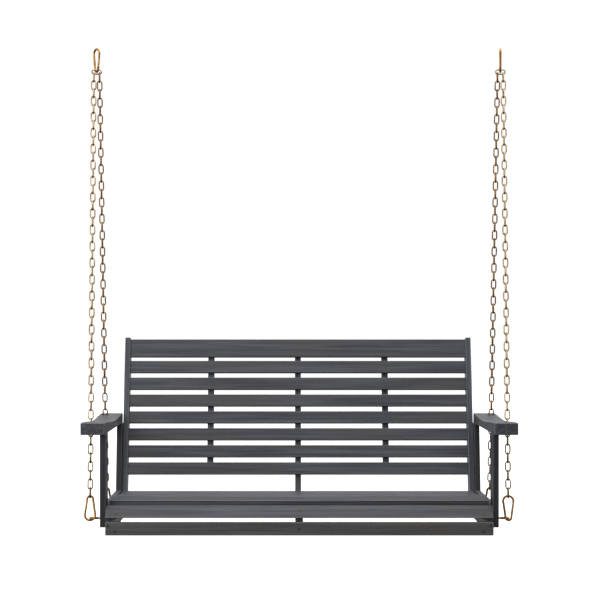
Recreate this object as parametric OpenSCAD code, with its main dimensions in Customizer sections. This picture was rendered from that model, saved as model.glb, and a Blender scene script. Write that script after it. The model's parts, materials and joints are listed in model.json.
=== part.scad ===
// Two-seat porch swing: slatted hardwood bench hung on four chains from two spring hooks.
// +X is the sitter's left to right as seen from the front, +Y runs to the back and +Z is up.
// The origin is midway between the two points where the top hooks hang.

/* [Seat] */
// Length of the front edge of the seat, between the two side frames
seat_length = 1160; // [900:5:1500]
// Thickness of every board
board = 18; // [16:0.5:22]
// How much shorter each deck slat is than the seat, at each end
slat_inset = 8; // [2:1:20]
// Width of the rounded-over nose slat at the front
nose_width = 44; // [38:1:50]
// Slope of the nose slat
nose_slope = 54; // [48:1:60]
// Width of the first deck slat
front_slat_width = 61; // [50:1:70]
// Width of each deck slat behind it
deck_slat_width = 80; // [60:1:96]
// Gap between deck slats
deck_gap = 12; // [6:1:16]
// Number of deck slats
deck_slats = 5; // [5:1:5]
// Rise of the first deck slat towards the back, in degrees
deck_rise = 5; // [2:0.5:8]
// Fall of the second deck slat, in degrees
deck_fall_front = 6.5; // [4:0.5:8]
// Fall of the last deck slat, in degrees
deck_fall_rear = 1; // [0:0.5:3]
// Height of the vertical front apron
apron_height = 40; // [30:1:46]
// Height of the side rails' lower edge above the apron's
rail_lift = 7; // [0:1:12]
// Width of the middle rail
center_rail_width = 22; // [18:1:40]

/* [Back] */
// Lean of the back from upright, in degrees
lean = 13.9; // [8:0.1:18]
// Length of the back above the seat line, along its slope
back_length = 481; // [470:1:520]
// Depth of the two end stiles, front to back
stile_depth = 50; // [40:1:60]
// Number of narrow back slats under the wide top one
narrow_slats = 7; // [7:1:7]
// Width of a narrow back slat
back_slat_width = 40; // [34:1:44]
// Gap between the narrow back slats
back_slat_gap = 17; // [12:1:18]
// Width of the top slat
top_slat_width = 60; // [50:1:62]
// Gap under the top slat
top_slat_gap = 14; // [8:1:16]
// Height of the lowest slat above the seat line, along the slope
first_slat = 19.5; // [12:0.5:24]
// How far the slats sit behind the front of the stiles
slat_recess = 5; // [2:0.5:8]
// Width of the middle post behind the slats
back_post_width = 20; // [18:1:40]
// Width of the two battens behind the slats
batten_width = 21; // [16:0.5:36]
// Distance of each batten from the middle
batten_x = 291; // [200:1:360]

/* [Arms] */
// Height of the arms' underside above the apron's lower edge
arm_height = 300; // [260:1:320]
// Width of an arm
arm_width = 72; // [68:1:90]
// How far an arm runs over its rear support
arm_cover = 41.3; // [38:0.1:60]
// Thickness of an arm at its front end
arm_front = 37; // [30:1:42]
// Thickness of an arm at the hollow of its top
arm_middle = 25; // [20:1:29]
// Thickness of an arm at its rear end
arm_rear = 33; // [30:1:40]
// Width of the front posts, front to back
post_width = 64; // [56:1:70]
// Setback of the front posts from the front of the seat
post_setback = 20; // [19:1:30]
// Height of the front posts' feet above the apron's lower edge
post_foot = 21.6; // [16:0.2:30]
// Width of the rear supports, front to back
support_width = 64; // [56:1:70]
// Lean of the rear supports, in degrees
support_lean = 8.9; // [5:0.1:11]

/* [Hanging] */
// Height of the hooks above the lowest edge of the bench
hang_height = 1506; // [1250:1:1810]
// Distance of the hooks behind the front of the seat
hang_setback = 351; // [330:1:370]
// Distance of each hook outside the end of the seat
hook_outset = 66; // [60:1:74]
// Wire diameter of the chain
link_wire = 4.8; // [4:0.1:5.8]
// Inner width of a chain link
link_inner = 8.9; // [8.8:0.1:10]
// Nominal inner length of a chain link
link_pitch = 26.5; // [25:0.5:30]
// Diameter of the arm's chain holes
chain_hole = 30; // [28:1:34]
// Wire diameter of the spring hooks
hook_wire = 7; // [7:0.1:7.4]
// Radius of the wide end of a spring hook, to the middle of its wire
hook_wide = 15.5; // [15:0.5:18]
// Radius of the narrow end of a spring hook, to the middle of its wire
hook_narrow = 8.5; // [8.5:0.1:9]
// Distance between the middles of a spring hook's two ends
hook_span = 49; // [46:1:60]
// Turn of the left top hook about the vertical, in degrees
top_turn_left = 50; // [50:5:90]
// Turn of the right top hook about the vertical, in degrees
top_turn_right = 80; // [50:5:90]
// Wire diameter of the eye bolts' rings
eye_wire = 6; // [5:0.5:6]
// Radius of an eye bolt's ring, to the middle of its wire
eye_radius = 11; // [10.5:0.5:14]
// Length of an eye bolt's neck outside the wood, to the inside of its ring
eye_neck = 8; // [6:1:14]
// Distance of the front eye bolts behind the front edge of the front posts
front_eye_inset = 32; // [20:1:44]
// Height of the front eye bolts
front_eye_z = 46.5; // [40:0.5:60]
// Distance of the rear eye bolts behind the front edge of the rear supports
rear_eye_inset = 44.7; // [20:0.1:50]
// Height of the rear eye bolts
rear_eye_z = 23; // [20:1:40]

/* [Fastenings] */
// Shank diameter of the wood screws
screw_shank = 4; // [3.5:0.5:5]
// Head diameter of the wood screws
screw_head = 8; // [7:0.5:9]
// Length of the wood screws
screw_length = 32; // [26:1:34]
// Diameter of the frame bolts
bolt_shank = 6; // [5:0.5:8]
// Diameter of the frame bolts' round heads
bolt_head = 16; // [12:1:18]

/* [Hidden] */
$fn = 48;

LEFT = -1;
RIGHT = 1;
CLEAR = 0.05;      // radial clearance of a screw or bolt in its hole
CONTACT = 0.1;     // gap left where two round wires bear on each other
OVER = 1;          // how far a cut runs past the face that it opens
SEAM = 0.02;       // how much thinner straight wire is than its bends, so that they join cleanly
SINK = 0.4;        // how deep straight wire runs into its bends

WOOD = "#4d4c50";
WOOD_APRON = "#4a4744";
BRASS = "#b08d57";
DARK_BRASS = "#6d5a3c";

// Places of the main boards, measured from the front of the seat and the apron's lower edge
half_seat = seat_length / 2;
rail_inner = half_seat - board;
frame_outer = half_seat + board;
post_back = post_setback + post_width;
slat_length = seat_length - 2 * slat_inset;
nose_foot = [4, apron_height + 11.7];
nose_top = nose_foot + nose_width * along(nose_slope);
nose_heel = nose_foot + [board / sin(nose_slope), 0];
deck_start = nose_top + [16, 13.5];
last_slat = deck_slats - 1;
deck_end = slat_end(last_slat);
rail_rear_top = deck_end[1] - board * cos(deck_fall_rear);
back_foot = [deck_end[0] + 17, deck_end[1] + 34];
rail_rear = support_front(rail_lift) + support_width;
side_board_top = deck_end[1] + 1;
narrow_top = first_slat + narrow_slats * back_slat_width + (narrow_slats - 1) * back_slat_gap;
top_slat_start = narrow_top + top_slat_gap;
stretcher_top = rail_rear_top - 2;
back_slat_behind = slat_recess + board;
arm_inner = frame_outer - 16;
arm_length = support_front(arm_height) + arm_cover;
block_side = 27;

// Along the chains, in the same measure as the boards
hook_x = half_seat + hook_outset;
hook_inside = hook_span + hook_wide + hook_narrow - hook_wire;
leg_angle = asin((hook_wide - hook_narrow) / hook_span);
leg_length = hook_span * cos(leg_angle);
swivel_rise = 0.8;
hinge_z = -(hook_wide + hook_span + hook_narrow - hook_wire) + link_wire / 2 + swivel_rise;
link_bow = (link_inner + link_wire) / 2;
apex_side = 9;
eye_x = frame_outer + eye_neck + eye_wire / 2 + eye_radius;
ring_contact = eye_x + eye_radius;
shank_inner = rail_inner - 10;

// Spring hook: the gate's forks go over two flat tongues of the body
tab = 2.4;
fork_slot = 3;
gate_wire = hook_wire - 0.6;
rivet_r = 1.2;
pivot_at = leg_length - 5.5;
nose_at = 3;
gate_tip = nose_at + 0.6;

// Directions in the side view: along a board that slopes by a, and square to it towards its underside
function along(a) = [cos(a), sin(a)];
function under(a) = [sin(a), -cos(a)];

// Deck slats, front to back
function slat_width(i) = i == 0 ? front_slat_width : deck_slat_width;
function slat_tilt(i) = i == 0 ? deck_rise
  : -deck_fall_front + (i - 1) * (deck_fall_front - deck_fall_rear) / (deck_slats - 2);
function slat_end(i) = slat_start(i) + slat_width(i) * along(slat_tilt(i));
function slat_start(i) = i == 0 ? deck_start
  : slat_end(i - 1) + deck_gap * along((slat_tilt(i - 1) + slat_tilt(i)) / 2);
function slat_underside(i, share) = slat_start(i) + share * slat_width(i) * along(slat_tilt(i))
  + board * under(slat_tilt(i));

// A point of the back: t up its slope and d behind the front of the stiles
function on_back(t, d) = back_foot + t * [sin(lean), cos(lean)] + d * [cos(lean), -sin(lean)];
function back_at(z, d) = on_back((z - back_foot[1] + d * sin(lean)) / cos(lean), d);
function back_slat_start(k) = k < narrow_slats ? first_slat + k * (back_slat_width + back_slat_gap)
  : top_slat_start;
function back_slat_height(k) = k < narrow_slats ? back_slat_width : top_slat_width;
// Front edge of the rear supports at height z
function support_front(z) = back_foot[0] - 27.5 + (z - 22) * tan(support_lean);

// Thickness of an arm at distance y from its front end
function arm_thickness(y) = let (half = arm_length * 0.56)
  y < half ? arm_middle + (arm_front - arm_middle) * (1 + cos(180 * y / half)) / 2
  : arm_middle + (arm_rear - arm_middle) * (1 - cos(180 * (y - half) / (arm_length - half))) / 2;

// Chain line: from the ring of an eye bolt to the lower leg of the apex link
function is_front(place) = place == "front";
function chain_foot(place) = is_front(place)
  ? [ring_contact, post_setback + front_eye_inset, front_eye_z]
  : [ring_contact, support_front(rear_eye_z) + rear_eye_inset, rear_eye_z];
function chain_head(place) = [
  hook_x + (is_front(place) ? apex_side : -apex_side), hang_setback, hang_height + hinge_z - 2 * link_bow
];
function chain_line(place) = chain_head(place) - chain_foot(place);
function chain_reach(place) = norm(chain_line(place)) - hook_inside
  + eye_wire / 2 + link_wire / 2 + 2 * CONTACT;
function link_count(place) = 2 * round(chain_reach(place) / link_pitch / 2 - 0.5) + 1;
function true_pitch(place) = chain_reach(place) / link_count(place);
function at_height(place, z) = let (line = chain_line(place))
  chain_foot(place) + line * (z - chain_foot(place)[2]) / line[2];

module from_bench() {
  translate([0, -hang_setback, -hang_height]) children();
}

module on_side(side) {
  if (side == LEFT) mirror([1, 0, 0]) children();
  else children();
}

// A board with a side-view outline, from x0 to x1
module side_cut(outline, x0, x1) {
  translate([x0, 0, 0]) rotate([90, 0, 90]) linear_extrude(x1 - x0) polygon(outline);
}

// Moves to the front top edge of a deck slat, with +Y along the slat and +Z square to it
module on_slat(i) {
  translate([0, slat_start(i)[0], slat_start(i)[1]]) rotate([slat_tilt(i), 0, 0]) children();
}

module on_nose() {
  translate([0, nose_foot[0], nose_foot[1]]) rotate([nose_slope, 0, 0]) children();
}

// Moves to the back, with +Z up its slope and +Y behind it
module on_lean() {
  translate([0, back_foot[0], back_foot[1]]) rotate([-lean, 0, 0]) children();
}

// ---- Wood screws: each place has its head at the origin, facing +Z ----
module screw(play = 0) {
  cylinder(h = 2.4, r1 = screw_shank / 2 + play, r2 = screw_head / 2 + play);
  translate([0, 0, -screw_length + 2.4 - play])
    cylinder(h = screw_length - 2.4 + play, r = screw_shank / 2 + play);
}

module countersunk(play = 0) {
  translate([0, 0, -2.4]) screw(play);
}

module front_screw_places() {
  for (side = [LEFT, RIGHT]) on_side(side) {
    translate([half_seat - 30, 0, apron_height * 0.28]) rotate([90, 0, 0]) children();
    translate([half_seat - 9, 0, apron_height * 0.72]) rotate([90, 0, 0]) children();
    on_nose() translate([half_seat - 30, nose_width * 0.3, 0]) children();
    on_nose() translate([half_seat - 9, nose_width * 0.75, 0]) children();
  }
  translate([0, 0, apron_height / 2]) rotate([90, 0, 0]) children();
  on_nose() translate([0, nose_width * 0.6, 0]) children();
}

module deck_screw_places(i) {
  for (x = [-(half_seat - 13), 0, half_seat - 13])
    for (share = i == 0 ? [0.5] : [0.28, 0.72])
      on_slat(i) translate([x, share * slat_width(i), 0]) children();
}

module arm_screw_places() {
  for (side = [LEFT, RIGHT]) on_side(side)
    for (y = [post_setback + 12, post_back - 12, support_front(arm_height) + 14])
      translate([half_seat + board / 2, y, arm_height + arm_thickness(y)]) children();
}

module slat_screw_places(k) {
  middle = back_slat_start(k) + back_slat_height(k) / 2;
  on_lean() {
    translate([0, stile_depth, middle]) rotate([-90, 0, 0]) children();
    for (side = [LEFT, RIGHT])
      translate([side * batten_x, back_slat_behind + board, middle]) rotate([-90, 0, 0]) children();
  }
}

module slat_end_screw_places(k) {
  middle = back_slat_start(k) + back_slat_height(k) / 2;
  for (side = [LEFT, RIGHT]) on_side(side)
    on_lean() translate([half_seat, slat_recess + board / 2, middle]) rotate([0, 90, 0]) children();
}

module side_board_screw_places() {
  for (side = [LEFT, RIGHT]) on_side(side)
    for (share = [0.1, 0.5, 0.9]) let (y = post_back + share * (support_front(post_foot) - post_back))
      translate([frame_outer, y, (post_foot + side_board_top) / 2]) rotate([0, 90, 0]) children();
}

// ---- Frame bolts: each place has the wood's outer face at the origin, facing +Z ----
// The two through each rear support come out behind a back slat
module bolt_places() {
  for (side = [LEFT, RIGHT]) on_side(side) {
    translate([frame_outer, post_back - 14, side_board_top - 10]) rotate([0, 90, 0]) children();
    for (k = [0, 1]) {
      spot = on_back(back_slat_start(k) + back_slat_height(k) / 2, back_slat_behind + 7);
      translate([frame_outer, spot[0], spot[1]]) rotate([0, 90, 0]) children();
    }
  }
}

module eye_places() {
  for (side = [LEFT, RIGHT]) on_side(side)
    for (place = ["front", "rear"])
      translate([0, chain_foot(place)[1], chain_foot(place)[2]]) children();
}

module bolt_holes() {
  bolt_places() translate([0, 0, -3 * board]) cylinder(h = 4 * board, r = bolt_shank / 2 + CLEAR);
  eye_places() translate([rail_inner - board, 0, 0]) rotate([0, 90, 0])
    cylinder(h = 4 * board, r = eye_wire / 2 + CLEAR);
}

module frame_bolts() {
  color(DARK_BRASS) from_bench() bolt_places() {
    intersection() {
      cylinder(h = 4, r = bolt_head / 2);
      translate([0, 0, 4 - bolt_head]) sphere(r = bolt_head);
    }
    translate([0, 0, -2 * board - 9]) cylinder(h = 2 * board + 9 + OVER, r = bolt_shank / 2);
  }
}

module hex_nut(across, bore, height) {
  difference() {
    cylinder(h = height, r = across / 2 / cos(30), $fn = 6);
    translate([0, 0, -OVER]) cylinder(h = height + 2 * OVER, r = bore / 2 + CLEAR);
  }
}

// ---- Seat ----
// Upper edge of a rail, from the back of the deck forward and down to its foot
function rail_top() = concat(
  [for (i = [deck_slats - 1 : -1 : 0]) each [slat_underside(i, 1), slat_underside(i, 0)]],
  [nose_top + board * under(nose_slope), nose_heel, [board, nose_heel[1]], [board, rail_lift]]
);

module all_deck_holes() {
  for (i = [0 : deck_slats - 1]) deck_screw_places(i) countersunk(CLEAR);
}

module side_rail(side) {
  outline = concat(
    [[rail_rear, rail_lift], [rail_rear, rail_rear_top], [deck_end[0], rail_rear_top]],
    rail_top()
  );
  color(WOOD) from_bench() difference() {
    on_side(side) side_cut(outline, rail_inner, half_seat);
    all_deck_holes();
    front_screw_places() countersunk(CLEAR);
    side_board_screw_places() countersunk(CLEAR);
    bolt_holes();
  }
}

module corner_block(side) {
  color(WOOD) from_bench() difference() {
    on_side(side) translate([rail_inner - block_side, board, rail_lift])
      cube([block_side, block_side, nose_foot[1] - rail_lift - board / 2 - 6]);
    front_screw_places() countersunk(CLEAR);
  }
}

module center_rail() {
  half = center_rail_width / 2;
  outline = concat(
    [back_at(rail_lift, slat_recess), back_at(stretcher_top, slat_recess)],
    rail_top()
  );
  color(WOOD) from_bench() difference() {
    side_cut(outline, -half, half);
    all_deck_holes();
    front_screw_places() countersunk(CLEAR);
  }
}

module front_apron() {
  color(WOOD_APRON) from_bench() difference() {
    translate([-half_seat, 0, 0]) cube([seat_length, board, apron_height]);
    front_screw_places() countersunk(CLEAR);
  }
}

// Its lower edge is sawn level
module nose_slat() {
  outline = [nose_foot, nose_top, nose_top + board * under(nose_slope), nose_heel];
  color(WOOD) from_bench() difference() {
    side_cut(outline, -half_seat, half_seat);
    front_screw_places() countersunk(CLEAR);
  }
}

module deck_slat(i) {
  color(WOOD) from_bench() difference() {
    on_slat(i) translate([-slat_length / 2, 0, -board]) cube([slat_length, slat_width(i), board]);
    deck_screw_places(i) countersunk(CLEAR);
  }
}

module rear_stretcher() {
  outline = [
    back_at(rail_lift, slat_recess), back_at(rail_lift, back_slat_behind),
    back_at(stretcher_top, back_slat_behind), back_at(stretcher_top, slat_recess)
  ];
  color(WOOD) from_bench() side_cut(outline, -rail_inner, rail_inner);
}

// ---- Side frames ----
module side_board(side) {
  outline = [
    [post_back, post_foot], [support_front(post_foot), post_foot],
    [support_front(side_board_top), side_board_top], [post_back, side_board_top]
  ];
  color(WOOD) from_bench() difference() {
    on_side(side) side_cut(outline, half_seat, frame_outer);
    side_board_screw_places() countersunk(CLEAR);
  }
}

module front_post(side) {
  color(WOOD) from_bench() difference() {
    on_side(side) translate([half_seat, post_setback, post_foot])
      cube([board, post_width, arm_height - post_foot]);
    arm_screw_places() countersunk(CLEAR);
    bolt_holes();
  }
}

module rear_support(side) {
  outline = [
    [support_front(rail_lift), rail_lift], [support_front(rail_lift) + support_width, rail_lift],
    [support_front(arm_height) + support_width, arm_height], [support_front(arm_height), arm_height]
  ];
  color(WOOD) from_bench() difference() {
    on_side(side) side_cut(outline, half_seat, frame_outer);
    arm_screw_places() countersunk(CLEAR);
    bolt_holes();
  }
}

module arm(side) {
  steps = 24;
  outline = concat(
    [[0, arm_height], [arm_length, arm_height]],
    [for (i = [steps : -1 : 0]) let (y = arm_length * i / steps) [y, arm_height + arm_thickness(y)]]
  );
  color(WOOD) from_bench() difference() {
    on_side(side) side_cut(outline, arm_inner, arm_inner + arm_width);
    arm_screw_places() countersunk(CLEAR);
    for (place = ["front", "rear"]) on_side(side) {
      through = at_height(place, arm_height + arm_middle / 2);
      translate([through[0], through[1], arm_height - OVER])
        cylinder(h = arm_front + 2 * OVER, r = chain_hole / 2);
    }
  }
}

// ---- Back ----
module back_stile(side) {
  outline = [
    back_at(rail_rear_top, 0), back_at(rail_rear_top, stile_depth),
    on_back(back_length, stile_depth), on_back(back_length, 0)
  ];
  color(WOOD) from_bench() difference() {
    on_side(side) side_cut(outline, rail_inner, half_seat);
    for (k = [0 : narrow_slats]) slat_end_screw_places(k) countersunk(CLEAR);
    bolt_holes();
  }
}

module back_slat(k) {
  color(WOOD) from_bench() difference() {
    on_lean() translate([-rail_inner, slat_recess, back_slat_start(k)])
      cube([2 * rail_inner, board, back_slat_height(k)]);
    slat_screw_places(k) countersunk(CLEAR);
    slat_end_screw_places(k) countersunk(CLEAR);
  }
}

module back_center_post() {
  top = top_slat_start + top_slat_width - 6;
  outline = [
    back_at(rail_lift, back_slat_behind), back_at(rail_lift, stile_depth),
    on_back(top, stile_depth), on_back(top, back_slat_behind)
  ];
  color(WOOD) from_bench() difference() {
    side_cut(outline, -back_post_width / 2, back_post_width / 2);
    for (k = [0 : narrow_slats]) slat_screw_places(k) countersunk(CLEAR);
  }
}

module back_batten(side) {
  bottom = first_slat + 4;
  top = top_slat_start + top_slat_width - 6;
  color(WOOD) from_bench() difference() {
    on_lean() translate([side * batten_x - batten_width / 2, back_slat_behind, bottom])
      cube([batten_width, board, top - bottom]);
    for (k = [0 : narrow_slats]) slat_screw_places(k) countersunk(CLEAR);
  }
}

module wood_screws() {
  color(DARK_BRASS) from_bench() {
    front_screw_places() countersunk();
    for (i = [0 : deck_slats - 1]) deck_screw_places(i) countersunk();
    arm_screw_places() countersunk();
    for (k = [0 : narrow_slats]) slat_screw_places(k) countersunk();
    for (k = [0 : narrow_slats]) slat_end_screw_places(k) countersunk();
    side_board_screw_places() countersunk();
  }
}

module frame_nuts() {
  color(BRASS) from_bench() bolt_places() {
    translate([0, 0, -2 * board - 6]) hex_nut(10, bolt_shank, 6);
  }
}

// ---- Eye bolts ----
module eye_bolts() {
  color(BRASS) from_bench() eye_places() {
    translate([eye_x, 0, 0]) rotate_extrude() translate([eye_radius, 0]) circle(d = eye_wire);
    translate([shank_inner, 0, 0]) rotate([0, 90, 0])
      cylinder(h = eye_x - eye_radius - shank_inner, r = eye_wire / 2);
  }
}

module eye_washers() {
  color(BRASS) from_bench() eye_places()
    for (x = [frame_outer, rail_inner - 1.6])
      translate([x, 0, 0]) rotate([0, 90, 0]) difference() {
        cylinder(h = 1.6, r = 7);
        translate([0, 0, -OVER]) cylinder(h = 1.6 + 2 * OVER, r = eye_wire / 2 + CLEAR);
      }
}

module eye_nuts() {
  color(BRASS) from_bench() eye_places()
    translate([rail_inner - 6.6, 0, 0]) rotate([0, 90, 0]) hex_nut(10, eye_wire, 5);
}

// ---- Spring hooks: middle of the wide end at the origin, narrow end at +Z, gate on the +X leg ----
// Moves to the gate's leg, with +Z along it from the wide end to the narrow end
module on_leg() {
  rotate([0, -leg_angle, 0]) translate([hook_wide, 0, 0]) children();
}

module on_pivot() {
  on_leg() translate([0, 0, pivot_at]) children();
}

module bend(radius, wire, from, turn) {
  rotate([90, 0, 0]) rotate([0, 0, from])
    rotate_extrude(angle = turn) translate([radius, 0]) circle(d = wire);
}

// A straight length of wire that seats SINK deep in the bends at its ends, a hair thinner than they are
module straight_wire(wire, from, to) {
  translate([0, 0, from]) cylinder(h = to - from, r = wire / 2 - SEAM);
}

module hook_body() {
  bend(hook_wide, hook_wire, 180 - leg_angle, 180 + 2 * leg_angle);
  translate([0, 0, hook_span]) bend(hook_narrow, hook_wire, leg_angle, 180 - 2 * leg_angle);
  mirror([1, 0, 0]) on_leg() straight_wire(hook_wire, -SINK, leg_length + SINK);
  on_leg() straight_wire(hook_wire, -SINK, nose_at);
  on_leg() translate([-2.6, -tab / 2, nose_at - 0.5]) cube([5.2, tab, 5.5]);
  on_leg() straight_wire(hook_wire, pivot_at + 4.2, leg_length + SINK);
  difference() {
    on_pivot() {
      translate([-3, -tab / 2, 0]) cube([6, tab, 5]);
      rotate([90, 0, 0]) cylinder(h = tab, r = 3, center = true);
    }
    on_pivot() rotate([90, 0, 0]) cylinder(h = tab + 2 * OVER, r = rivet_r + 0.02, center = true);
  }
}

module hook_gate() {
  difference() {
    union() {
      on_leg() translate([0, 0, gate_tip]) cylinder(h = pivot_at - gate_tip, r = gate_wire / 2);
      on_pivot() rotate([90, 0, 0]) cylinder(h = gate_wire - 0.4, r = gate_wire / 2, center = true);
    }
    on_leg() translate([-gate_wire, -fork_slot / 2, gate_tip - OVER])
      cube([2 * gate_wire, fork_slot, 6 + OVER]);
    on_pivot() translate([-gate_wire, -fork_slot / 2, -4.5]) cube([2 * gate_wire, fork_slot, 10]);
    on_pivot() rotate([90, 0, 0]) cylinder(h = 2 * gate_wire, r = rivet_r + CLEAR, center = true);
  }
}

module hook_rivet() {
  on_pivot() rotate([90, 0, 0]) {
    cylinder(h = gate_wire + 1, r = rivet_r, center = true);
    for (end = [-1, 1]) translate([0, 0, end * (gate_wire / 2 + 0.35)])
      cylinder(h = 0.5, r = 2, center = true);
  }
}

module at_top_hook(side) {
  turn = side == LEFT ? top_turn_left : top_turn_right;
  on_side(side) translate([hook_x, 0, -(hook_wide - hook_wire / 2)])
    rotate([0, 0, turn]) rotate([0, 180, 0]) children();
}

// Moves to an eye bolt's chain line: the ring's wire at the origin, +Z up the chain, +X away from the bench
module on_chain(place, side) {
  up = chain_line(place) / norm(chain_line(place));
  across = [1, 0, 0] - up[0] * up;
  x_axis = across / norm(across);
  y_axis = cross(up, x_axis);
  foot = chain_foot(place);
  on_side(side) multmatrix([
    [x_axis[0], y_axis[0], up[0], foot[0]],
    [x_axis[1], y_axis[1], up[1], foot[1]],
    [x_axis[2], y_axis[2], up[2], foot[2]],
    [0, 0, 0, 1]
  ]) children();
}

// The front right hook hangs wide end up and the others wide end down
module at_lower_hook(place, side) {
  ring_seat = eye_wire / 2 + CONTACT;
  from_bench() on_chain(place, side)
    if (side == LEFT || !is_front(place)) translate([0, 0, hook_wide - hook_wire / 2 - ring_seat]) children();
    else translate([0, 0, hook_inside - (hook_wide - hook_wire / 2) - ring_seat])
      rotate([180, 0, 0]) children();
}

// ---- Chains ----
module link(inner) {
  half = (inner - link_inner) / 2;
  for (side = [-1, 1]) translate([side * link_bow, 0, 0])
    straight_wire(link_wire, -half - SINK, half + SINK);
  translate([0, 0, half]) bend(link_bow, link_wire, 0, 180);
  translate([0, 0, -half]) bend(link_bow, link_wire, 180, 180);
}

module chain(place, side) {
  pitch = true_pitch(place);
  reach = norm(chain_line(place));
  color(BRASS) from_bench() on_chain(place, side)
    for (i = [0 : link_count(place) - 1])
      translate([0, 0, reach + link_wire / 2 - (i + 0.5) * pitch])
        rotate([0, 0, i % 2 == 0 ? 90 : 0]) link(pitch + 2 * CONTACT);
}

module apex_links() {
  color(BRASS) for (side = [LEFT, RIGHT]) on_side(side)
    translate([hook_x, 0, hinge_z - link_bow]) rotate([0, 90, 0]) link(link_pitch);
}

module top_rivets() {
  color(BRASS) for (side = [LEFT, RIGHT]) at_top_hook(side) hook_rivet();
}

module lower_rivets() {
  color(BRASS) for (side = [LEFT, RIGHT]) for (place = ["front", "rear"])
    at_lower_hook(place, side) hook_rivet();
}

side_rail(LEFT);  // side_rail_l
side_rail(RIGHT);  // side_rail_r
corner_block(LEFT);  // corner_block_l
corner_block(RIGHT);  // corner_block_r
center_rail();
front_apron();
nose_slat();
deck_slat(0);  // deck_slat_1
deck_slat(1);  // deck_slat_2
deck_slat(2);  // deck_slat_3
deck_slat(3);  // deck_slat_4
deck_slat(4);  // deck_slat_5
side_board(LEFT);  // side_board_l
side_board(RIGHT);  // side_board_r
front_post(LEFT);  // front_post_l
front_post(RIGHT);  // front_post_r
rear_support(LEFT);  // rear_support_l
rear_support(RIGHT);  // rear_support_r
arm(LEFT);  // arm_l
arm(RIGHT);  // arm_r
back_stile(LEFT);  // back_stile_l
back_stile(RIGHT);  // back_stile_r
back_slat(0);  // back_slat_1
back_slat(1);  // back_slat_2
back_slat(2);  // back_slat_3
back_slat(3);  // back_slat_4
back_slat(4);  // back_slat_5
back_slat(5);  // back_slat_6
back_slat(6);  // back_slat_7
back_slat(7);  // back_slat_8
back_center_post();
back_batten(LEFT);  // back_batten_l
back_batten(RIGHT);  // back_batten_r
rear_stretcher();
wood_screws();
frame_bolts();
frame_nuts();
eye_bolts();
eye_washers();
eye_nuts();
color(BRASS) at_top_hook(LEFT) hook_body();  // top_hook_l
color(BRASS) at_top_hook(RIGHT) hook_body();  // top_hook_r
color(BRASS) at_top_hook(LEFT) hook_gate();  // top_gate_l
color(BRASS) at_top_hook(RIGHT) hook_gate();  // top_gate_r
top_rivets();
color(BRASS) at_lower_hook("front", LEFT) hook_body();  // hook_front_l
color(BRASS) at_lower_hook("front", RIGHT) hook_body();  // hook_front_r
color(BRASS) at_lower_hook("rear", LEFT) hook_body();  // hook_rear_l
color(BRASS) at_lower_hook("rear", RIGHT) hook_body();  // hook_rear_r
color(BRASS) at_lower_hook("front", LEFT) hook_gate();  // gate_front_l
color(BRASS) at_lower_hook("front", RIGHT) hook_gate();  // gate_front_r
color(BRASS) at_lower_hook("rear", LEFT) hook_gate();  // gate_rear_l
color(BRASS) at_lower_hook("rear", RIGHT) hook_gate();  // gate_rear_r
lower_rivets();
apex_links();
chain("front", LEFT);  // chain_front_l
chain("front", RIGHT);  // chain_front_r
chain("rear", LEFT);  // chain_rear_l
chain("rear", RIGHT);  // chain_rear_r
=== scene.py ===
import json
from math import asin, cos, hypot, pi, radians, sin, tan

import bmesh
import bpy
import numpy
from mathutils import Matrix, Vector


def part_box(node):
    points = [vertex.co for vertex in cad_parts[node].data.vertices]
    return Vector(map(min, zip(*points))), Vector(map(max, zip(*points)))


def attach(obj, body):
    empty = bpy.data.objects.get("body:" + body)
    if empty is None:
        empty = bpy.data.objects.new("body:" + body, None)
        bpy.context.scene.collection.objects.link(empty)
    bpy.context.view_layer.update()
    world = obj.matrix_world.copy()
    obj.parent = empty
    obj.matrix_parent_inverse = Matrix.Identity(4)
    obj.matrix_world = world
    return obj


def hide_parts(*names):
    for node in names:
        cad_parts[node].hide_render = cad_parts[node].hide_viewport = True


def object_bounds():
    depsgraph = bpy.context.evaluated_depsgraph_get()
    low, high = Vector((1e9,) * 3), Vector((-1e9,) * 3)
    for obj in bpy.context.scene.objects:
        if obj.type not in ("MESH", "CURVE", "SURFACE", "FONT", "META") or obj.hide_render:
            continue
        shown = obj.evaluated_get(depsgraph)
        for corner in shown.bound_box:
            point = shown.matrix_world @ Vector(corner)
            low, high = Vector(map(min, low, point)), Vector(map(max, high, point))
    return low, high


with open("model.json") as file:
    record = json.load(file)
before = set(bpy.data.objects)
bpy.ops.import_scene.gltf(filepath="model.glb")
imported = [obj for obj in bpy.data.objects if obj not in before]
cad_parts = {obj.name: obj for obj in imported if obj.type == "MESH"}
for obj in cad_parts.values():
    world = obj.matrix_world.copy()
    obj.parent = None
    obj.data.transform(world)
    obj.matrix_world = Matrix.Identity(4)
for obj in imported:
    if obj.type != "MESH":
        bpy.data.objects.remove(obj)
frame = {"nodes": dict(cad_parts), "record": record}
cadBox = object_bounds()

mm = 0.001
weld = 0.02 * mm  # points closer than this are one


# Edit mode by hand: open, pick by place, close

def only(piece):
    bpy.ops.object.select_all(action="DESELECT")
    piece.select_set(True)
    bpy.context.view_layer.objects.active = piece


def openMesh(piece):
    only(piece)
    bpy.ops.object.mode_set(mode="EDIT")
    bpy.ops.mesh.select_mode(type="VERT")


def closeMesh():
    bpy.ops.object.mode_set(mode="OBJECT")


def pick(piece, kind, test):
    bpy.ops.mesh.select_mode(type={"verts": "VERT", "edges": "EDGE", "faces": "FACE"}[kind])
    bpy.ops.mesh.select_all(action="DESELECT")
    mesh = bmesh.from_edit_mesh(piece.data)
    for part in getattr(mesh, kind):
        if test(part):
            part.select_set(True)
    mesh.select_flush_mode()
    bmesh.update_edit_mesh(piece.data)


def settle(piece):  # puts a piece's place into its mesh
    only(piece)
    bpy.ops.object.transform_apply(location=True, rotation=True, scale=True)


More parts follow.
